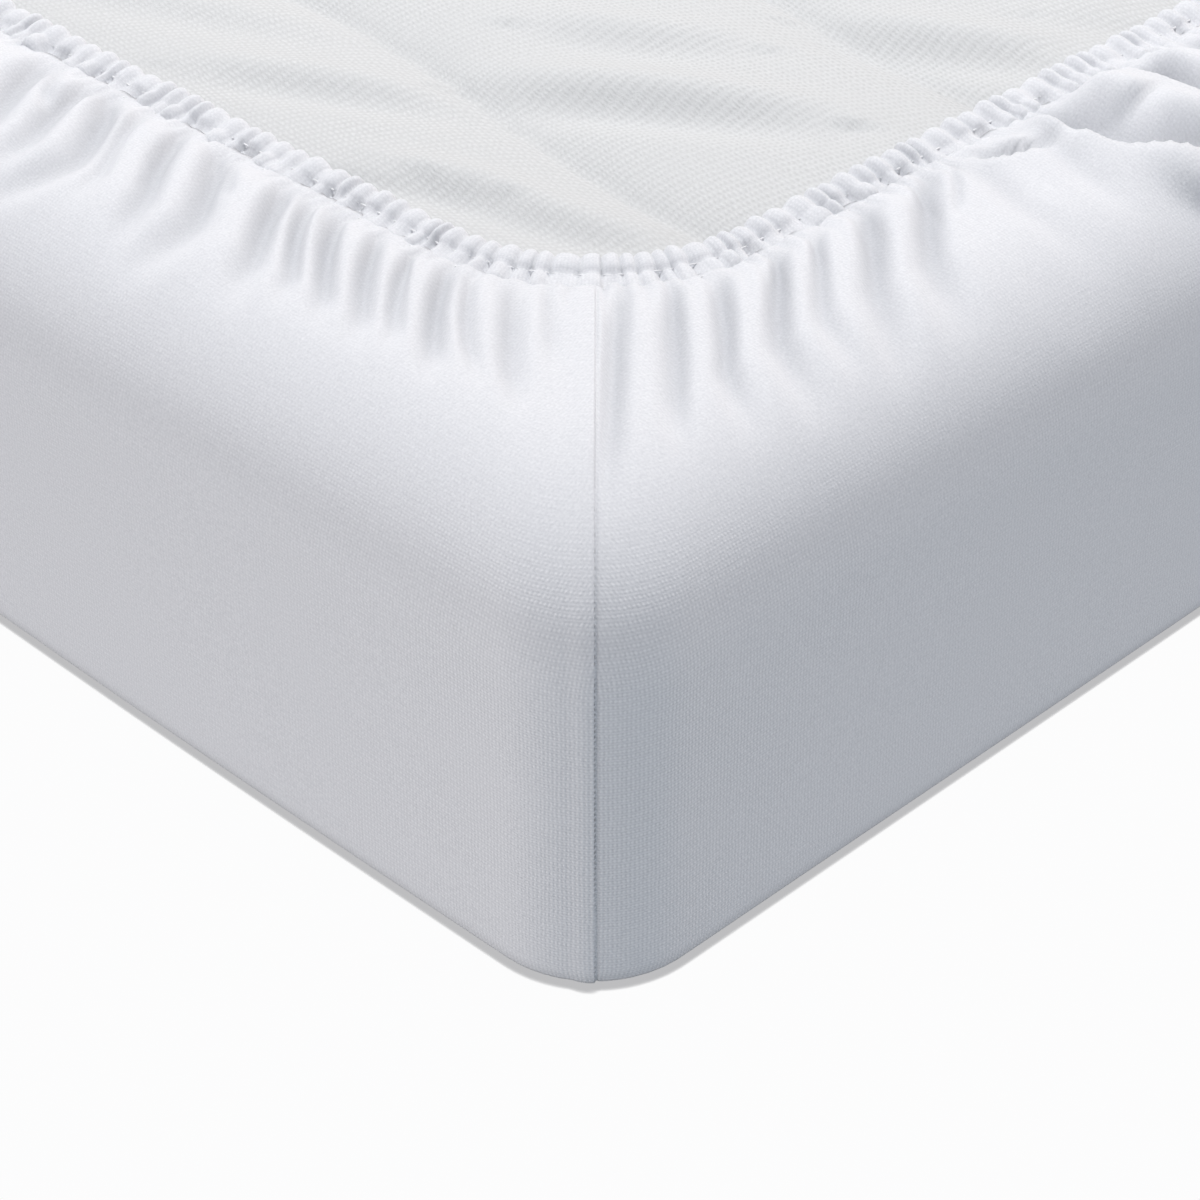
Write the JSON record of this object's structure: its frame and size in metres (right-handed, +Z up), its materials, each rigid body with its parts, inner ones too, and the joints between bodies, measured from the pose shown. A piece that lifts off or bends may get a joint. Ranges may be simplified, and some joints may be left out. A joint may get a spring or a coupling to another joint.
{
  "type": "fitted sheet on a mattress",
  "caption": "Knitted fitted sheet stretched over a small quilted mattress that lies hem side up, with a gathered elastic casing all round and rounded corners.",
  "frame": {"origin": "middle of the flat face that lies on the floor", "axes": "+X along the length, +Y across it, +Z up to the side with the elasticated hem"},
  "size_m": [1.1999, 0.6, 0.1243],
  "materials": {
    "white_knit": "soft matte single jersey",
    "mattress_cover": "matte towelling knit, quilted"
  },
  "bodies": {
    "root": {"fitted_sheet": "white_knit", "mattress": "mattress_cover"}
  },
  "joints": []
}
